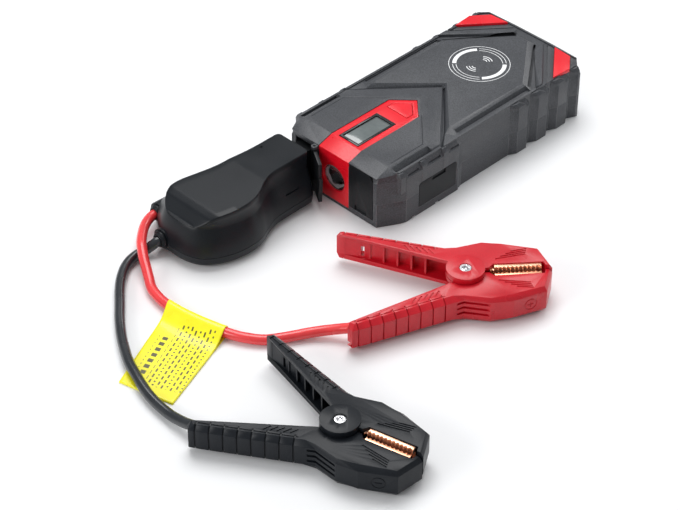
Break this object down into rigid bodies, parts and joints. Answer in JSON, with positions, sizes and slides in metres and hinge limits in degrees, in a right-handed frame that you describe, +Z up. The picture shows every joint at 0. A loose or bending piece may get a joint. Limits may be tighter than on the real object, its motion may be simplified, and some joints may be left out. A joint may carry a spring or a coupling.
{
  "type": "jump starter pack",
  "caption": "Car jump starter pack with display, lamp and covered ports, plugged into a lead set with a control box and two spring clamps.",
  "frame": {"origin": "centre of the case's flat underside, on the surface it lies on", "axes": "+Y from the case's port end to its rear end, +X towards the side with the input ports, +Z up"},
  "size_m": [0.2829, 0.4078, 0.0414],
  "materials": {
    "case": "fine-grained dark grey moulding",
    "red_gloss": "bright red moulding",
    "black_gloss": "black, polished",
    "display_glass": "grey-green display window",
    "nickel": "bright nickel plate",
    "circuit_board": "green board",
    "lens": "clear lens",
    "mirror_chrome": "bright reflector",
    "led": "yellow phosphor on a white carrier",
    "cover_rubber": "satin black rubber",
    "connector_plastic": "black connector moulding",
    "contact_brass": "gold-coloured plating",
    "copper": "bright copper plate",
    "cell_wrap": "aluminium-foil pouch",
    "steel": "plain zinc plate",
    "box_plastic": "satin black moulding",
    "relay_case": "dark blue case",
    "red_sheath": "glossy red sheath",
    "black_sheath": "glossy black sheath",
    "tag_yellow": "coated yellow card",
    "red_grip": "satin red moulding",
    "black_grip": "satin black moulding"
  },
  "bodies": {
    "pack": {"upper_shell": "case", "lower_shell": "case", "front_trim": "red_gloss", "corner_accents": "red_gloss", "lcd_frame": "black_gloss", "lcd_panel": "display_glass", "button_switch": "nickel", "display_board": "circuit_board", "lamp_lens": "lens", "lamp_reflector": "mirror_chrome", "lamp_led": "led", "usb_ports": "nickel", "port_board": "circuit_board", "dc_jack": "black_gloss", "type_c_port": "nickel", "input_board": "circuit_board", "socket_bezel": "case", "jump_socket": "connector_plastic", "socket_contacts": "contact_brass", "cover_pin": "connector_plastic", "main_board": "circuit_board", "charge_coil": "copper", "battery_cells": "cell_wrap", "bus_bars": "copper", "case_screws": "steel"},
    "button": {"power_button": "red_gloss"},
    "usb_door": {"usb_cover": "cover_rubber"},
    "side_door": {"side_cover": "cover_rubber"},
    "socket_door": {"socket_cover": "cover_rubber"},
    "cable_set": {"module_top": "box_plastic", "module_base": "box_plastic", "module_plug": "connector_plastic", "plug_pins": "contact_brass", "module_board": "circuit_board", "module_relay": "relay_case", "module_screws": "steel", "red_gland": "box_plastic", "black_gland": "box_plastic", "red_cord": "red_sheath", "black_cord": "black_sheath", "cable_tag": "tag_yellow", "red_fixed_half": "red_grip", "red_fixed_jaw": "copper", "red_pivot_sleeve": "steel", "red_pivot_screw": "steel", "red_spring": "steel", "black_fixed_half": "black_grip", "black_fixed_jaw": "copper", "black_pivot_sleeve": "steel", "black_pivot_screw": "steel", "black_spring": "steel"},
    "red_arm": {"red_moving_half": "red_grip", "red_moving_jaw": "copper"},
    "black_arm": {"black_moving_half": "black_grip", "black_moving_jaw": "copper"}
  },
  "joints": [
    {"name": "button_press", "type": "slide", "parent": "pack", "child": "button", "axis": [0, 0, -1], "range_m": [0, 0.0006], "stiffness_N_per_m": 2500, "springref_m": -0.0003},
    {"name": "usb_cover_hinge", "type": "hinge", "parent": "pack", "child": "usb_door", "pos_m": [0.024, -0.0952, 0.0368], "axis": [-1, 0, 0], "range_deg": [0, 100]},
    {"name": "side_cover_hinge", "type": "hinge", "parent": "pack", "child": "side_door", "pos_m": [0.04705, -0.049, 0.0056], "axis": [0, 1, 0], "range_deg": [0, 90]},
    {"name": "socket_cover_hinge", "type": "hinge", "parent": "pack", "child": "socket_door", "pos_m": [-0.0152, -0.097, 0.02], "axis": [0, 0, 1], "range_deg": [-8, 25]},
    {"name": "plug_pull", "type": "slide", "parent": "pack", "child": "cable_set", "axis": [0, -1, 0], "range_m": [0, 0.02]},
    {"name": "red_clamp_pivot", "type": "hinge", "parent": "cable_set", "child": "red_arm", "pos_m": [0.1229, -0.1057, 0.012], "axis": [0, 0, 1], "range_deg": [0, 45], "stiffness_Nm_per_rad": 0.9, "springref_deg": -34.38},
    {"name": "black_clamp_pivot", "type": "hinge", "parent": "cable_set", "child": "black_arm", "pos_m": [0.1633, -0.2513, 0.012], "axis": [0, 0, 1], "range_deg": [0, 45], "stiffness_Nm_per_rad": 0.9, "springref_deg": -34.38}
  ]
}
